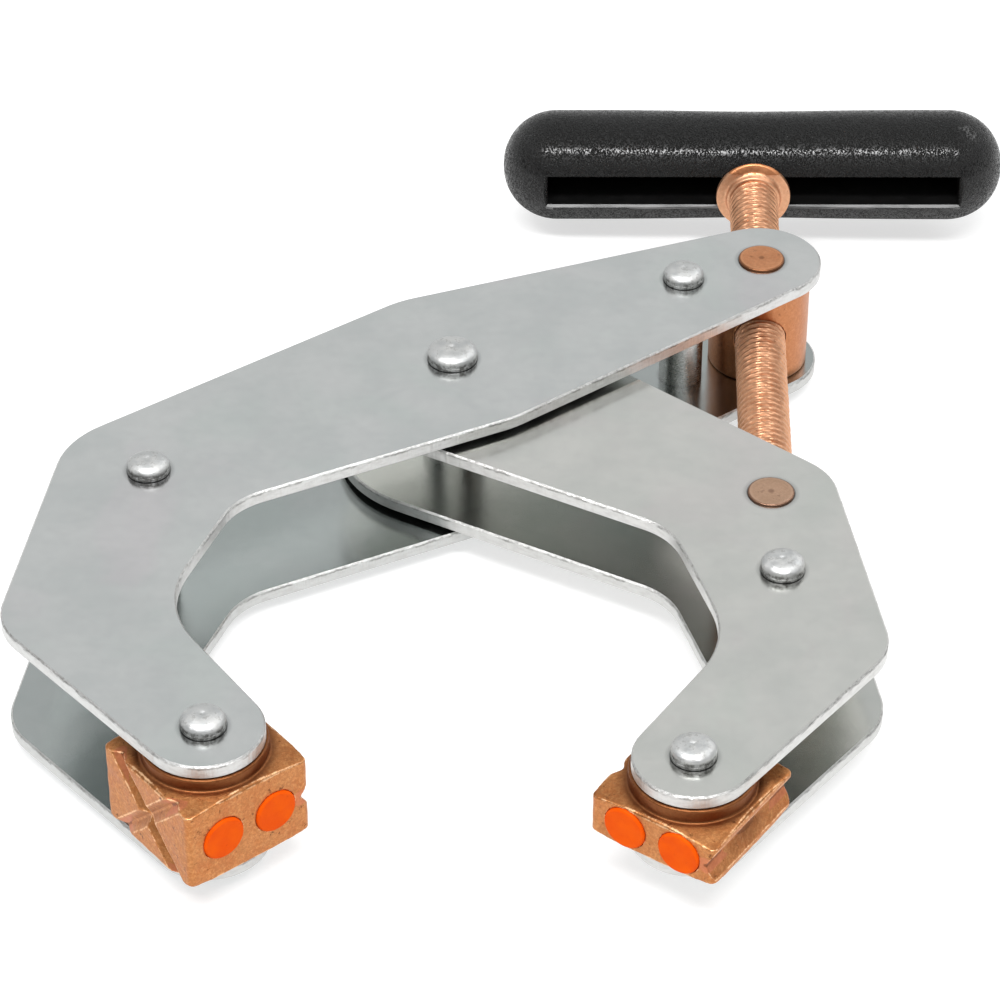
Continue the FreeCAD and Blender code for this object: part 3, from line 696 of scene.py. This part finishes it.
def collar():
    """The disc between the screw and the handle, with a raised ring round the screw and a flat bevel on top."""
    radius, thick = (collar_high.x - collar_low.x) / 2, collar_high.y - collar_low.y
    bore = 5.45 * MM
    profile = [
        (bore, thick), (radius - 0.3 * MM, thick), (radius, thick - 0.3 * MM), (radius, 0.45 * MM),
        (radius - 0.12 * MM, 0.2 * MM), (radius - 0.4 * MM, 0.08 * MM), (7.1 * MM, 0.0), (6.7 * MM, -0.06 * MM),
        (6.4 * MM, -0.25 * MM), (6.2 * MM, -0.60 * MM), (6.12 * MM, -1.0 * MM), (6.0 * MM, -1.22 * MM),
        (5.8 * MM, -1.36 * MM), (bore, -1.42 * MM), (bore, thick),
    ]
    bm = bmesh.new()
    lathe(bm, profile, (axis_x, collar_low.y, axis_z), (0, 1, 0), 120)
    bmesh.ops.remove_doubles(bm, verts=bm.verts, dist=ON_AXIS)

    # the bevel leans back from a level line above the screw, and takes the darker turned copper, as painted
    # shade
    line, slope, front_deep, tolerance = 6.2 * MM, 0.35, 0.9 * MM, 0.04 * MM
    whole = bm.verts[:] + bm.edges[:] + bm.faces[:]
    bmesh.ops.bisect_plane(bm, geom=whole, plane_co=(0, 0, axis_z + line), plane_no=(0, 0, 1))
    for v in bm.verts:
        over = (v.co.z - axis_z) - line
        if over > 0 and v.co.y < collar_low.y + front_deep:
            v.co.y += over * slope
    disc = stands_for(from_bmesh("collar_disc", bm), THREAD, "screw_collar")
    disc.data.materials.append(NUT)
    # the bevel's faces take the darker copper: painted shade
    for face in disc.data.polygons:
        if face.center.z - axis_z > line and face.center.y > collar_low.y - tolerance:
            face.material_index = 1
    return disc


def bar_profile(radius, half):
    """The handle's outline along its axis: near-round ends, and a slight waist."""
    fullness, bend, end_steps, steps = 0.96, radius * 0.985, 24, 96
    waist, waist_length = 0.38 * MM, 0.34 * half
    straight = half - bend
    profile = [(0.0, -half)]
    for k in range(1, end_steps + 1):
        a = math.pi / 2 * k / end_steps
        profile.append((radius * math.sin(a) ** fullness, -half + bend * (1 - math.cos(a))))
    for k in range(1, steps):
        h = -straight + 2 * straight * k / steps
        profile.append((radius - waist * math.exp(-((h / waist_length) ** 2)), h))
    return profile + [(r, -h) for r, h in reversed(profile[:end_steps + 1])]


def slot_cutter(middle, radius, slot_half, wide):
    """What the slot takes away: a straight pocket that flares at its mouth, to leave the lip."""
    floor_y = middle.y + 6.9 * MM
    flare_y = middle.y - math.sqrt(radius**2 - wide**2) + 0.75 * MM
    outside_y = middle.y - radius - 0.5 * MM
    bm = bmesh.new()
    loops = []
    for y, grow in ((floor_y, 0.0), (flare_y, 0.0), (outside_y, 1.55 * MM)):
        loops.append([
            bm.verts.new((middle.x + sx * (slot_half + grow), y, middle.z + sz * (wide + grow)))
            for sx, sz in ((-1, -1), (1, -1), (1, 1), (-1, 1))
        ])
    for low, high in zip(loops, loops[1:]):
        for k in range(4):
            bm.faces.new((low[k], low[(k + 1) % 4], high[(k + 1) % 4], high[k]))
    bm.faces.new(loops[0])
    bm.faces.new(loops[-1])
    return from_bmesh("cutter", bm, smooth=False)


def handle():
    """The moulded T-handle, turned a little about the screw, with a slot and a moulded lip."""
    radius, half, turn = 12.65 * MM, 57.7 * MM, math.radians(1.0)
    slot_half, wide = 47.3 * MM, 3.7 * MM
    grip_low, grip_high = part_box("handle_grip")
    middle = (grip_low + grip_high) / 2
    middle.y = grip_high.y - radius
    bm = bmesh.new()
    lathe(bm, bar_profile(radius, half), middle, (1, 0, 0), 144)
    body = from_bmesh("handle_moulded", bm)
    cutter = slot_cutter(middle, radius, slot_half, wide)
    hole = body.modifiers.new("slot", "BOOLEAN")
    hole.operation, hole.object, hole.solver = "DIFFERENCE", cutter, "EXACT"
    applied(body)
    bpy.data.objects.remove(cutter)

    # a new mesh, with sharp edges where the slot was cut
    bm = bmesh.new()
    bm.from_mesh(body.data)
    old = body.data
    body.data = bpy.data.meshes.new("handle_moulded")
    smooth_up_to(bm, math.radians(20))
    bm.to_mesh(body.data)
    bm.free()
    bpy.data.meshes.remove(old)

    stands_for(body, BLACK, "handle_grip").data.materials.append(SLOT)
    body.data.materials.append(LIP)
    for face in body.data.polygons:
        across = face.center - middle
        off_axis = math.hypot(across.y, across.z)
        beside_slot = abs(across.x) < slot_half + 0.01 * MM and abs(across.z) < wide + 0.01 * MM
        if beside_slot and off_axis < radius - 1.2 * MM:
            face.material_index = 1
        # the lip below the slot takes the lip plastic and its painted highlight
        below_slot = -wide - 0.9 * MM < across.z < -wide - 0.03 * MM and across.y < 0
        at_lip = abs(across.x) < slot_half and radius - 1.4 * MM < off_axis < radius - 0.05 * MM
        if below_slot and at_lip:
            face.material_index = 2
    body.data.transform(
        Matrix.Translation(middle) @ Matrix.Rotation(-turn, 4, "Y") @ Matrix.Translation(-middle)
    )
    return body


threaded_screw()
collar()
handle()


# ---------------------------------------------------------------- jaws, plugs, nut and socket

# the bosses on the jaws, and the part of their ends that is flat
BOSS, FLAT_FROM, FLAT_TO, FLAT_DEEP = 12.0 * MM, 5.0 * MM, 11.8 * MM, 0.55 * MM
PIN_LONG = 3.0 * MM

for side in ("outer", "inner"):
    low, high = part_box(side + "_jaw_rivet")
    boss = ((low.x + high.x) / 2, (low.y + high.y) / 2, BOSS)
    jaw = softened(side + "_jaw", side + "_jaw_cast", voxel=0.22, rounds=4)
    edges_marked(jaw, side + "_jaw", boss)
    rough_up(jaw, height=0.08, scale=2.6, seed=3.0)
    squared(jaw, boss, FLAT_FROM, FLAT_TO, FLAT_DEEP)
    stands_for(jaw, JAW, side + "_jaw")
    for hand in ("left", "right"):
        plug = softened(f"{side}_jaw_plug_{hand}", f"{side}_jaw_pad_{hand}", voxel=0.16, rounds=3)
        rough_up(plug, height=0.05, scale=2.0, seed=1.0)
        stands_for(plug, ORANGE, f"{side}_jaw_plug_{hand}")
for name, pin in (("trunnion_nut", NUT_PIN), ("trunnion_socket", SOCKET_PIN)):
    block = softened(name, name + "_turned", voxel=0.25, rounds=5)
    edges_marked(block, name)
    rough_up(block, height=0.03, scale=2.5, seed=5.0)
    end = pin_end(name)
    squared(block, end, 0.0, end[2] - 0.25 * MM, 0.5 * MM)
    stands_for(block, NUT, name)
    block.data.materials.append(pin)
    low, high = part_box(name)
    for face in block.data.polygons:
        if abs(face.center.z - (low.z + high.z) / 2) > (high.z - low.z) / 2 - PIN_LONG:
            face.material_index = 1


# ---------------------------------------------------------------- floor, light and camera

bm = bmesh.new()
bmesh.ops.create_circle(bm, cap_ends=True, segments=64, radius=4.0)
floor = from_bmesh("floor", bm, smooth=False)
floor.location.z = min(0.0, cad_low.z)
pale = Paint("pale_floor")
pale.finish(grey(0.48), 0.65, metallic=0.0, Emission_Color=(1, 1, 1, 1), Emission_Strength=0.58)
floor.data.materials.append(pale.material)
floor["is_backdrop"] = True

world = bpy.data.worlds.new("studio")
bpy.context.scene.world = world
world.use_nodes = True
tree = world.node_tree
tree.nodes.clear()
coord = tree.nodes.new("ShaderNodeTexCoord")
split = tree.nodes.new("ShaderNodeSeparateXYZ")
tree.links.new(coord.outputs["Generated"], split.inputs[0])


def graded(axis, start, end, low, high):
    """Two colours, or a socket and a colour, blended along a direction of the sky."""
    made = tree.nodes.new("ShaderNodeMapRange")
    made.interpolation_type = "SMOOTHSTEP"
    tree.links.new(split.outputs[axis], made.inputs["Value"])
    made.inputs["From Min"].default_value, made.inputs["From Max"].default_value = start, end
    mix = tree.nodes.new("ShaderNodeMix")
    mix.data_type = "RGBA"
    tree.links.new(made.outputs["Result"], mix.inputs[0])
    for value, socket in ((low, mix.inputs[6]), (high, mix.inputs[7])):
        if isinstance(value, tuple):
            socket.default_value = (*value, 1)
        else:
            tree.links.new(value, socket)
    return mix.outputs[2]


# dark low down in front, where the sheared edges and the handle reflect, and pale overhead and behind
light = tree.nodes.new("ShaderNodeBackground")
out = tree.nodes.new("ShaderNodeOutputWorld")
front = graded(2, 0.28, 0.74, grey(0.28), grey(1.08))
sky = graded(1, -0.25, 0.55, front, (0.76, 0.77, 0.77))
tree.links.new(sky, light.inputs["Color"])
light.inputs["Strength"].default_value = 0.95
tree.links.new(light.outputs[0], out.inputs["Surface"])


def aimed(obj, where, aim):
    """Links an object to the scene at a place, looking at another."""
    bpy.context.scene.collection.objects.link(obj)
    obj.location = where
    obj.rotation_mode = "QUATERNION"
    obj.rotation_quaternion = (Vector(aim) - Vector(where)).to_track_quat("-Z", "Y")


def softbox(name, where, aim, size, power):
    data = bpy.data.lights.new(name, "AREA")
    data.shape, data.size, data.size_y, data.energy = "RECTANGLE", size[0], size[1], power
    aimed(bpy.data.objects.new(name, data), where, aim)


softbox("key", where=(-0.04, -0.48, 1.02), aim=(0.03, 0, 0), size=(1.0, 0.13), power=12.0)
softbox("rim", where=(0.7, 0.5, 0.8), aim=(0, 0, 0), size=(0.5, 0.5), power=2.0)

camera = bpy.data.objects.new("camera", bpy.data.cameras.new("camera"))
camera.data.sensor_width = 36.0
camera.data.lens = 133.2
camera.data.clip_start, camera.data.clip_end = 0.01, 20.0
target = Vector((10.38, -15.33, 6.2)) * MM
aimed(camera, target + Vector((17.75, -616.2, 473.0)) * MM, target)
bpy.context.scene.camera = camera

bpy.context.scene.view_settings.view_transform = "Standard"

low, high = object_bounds()
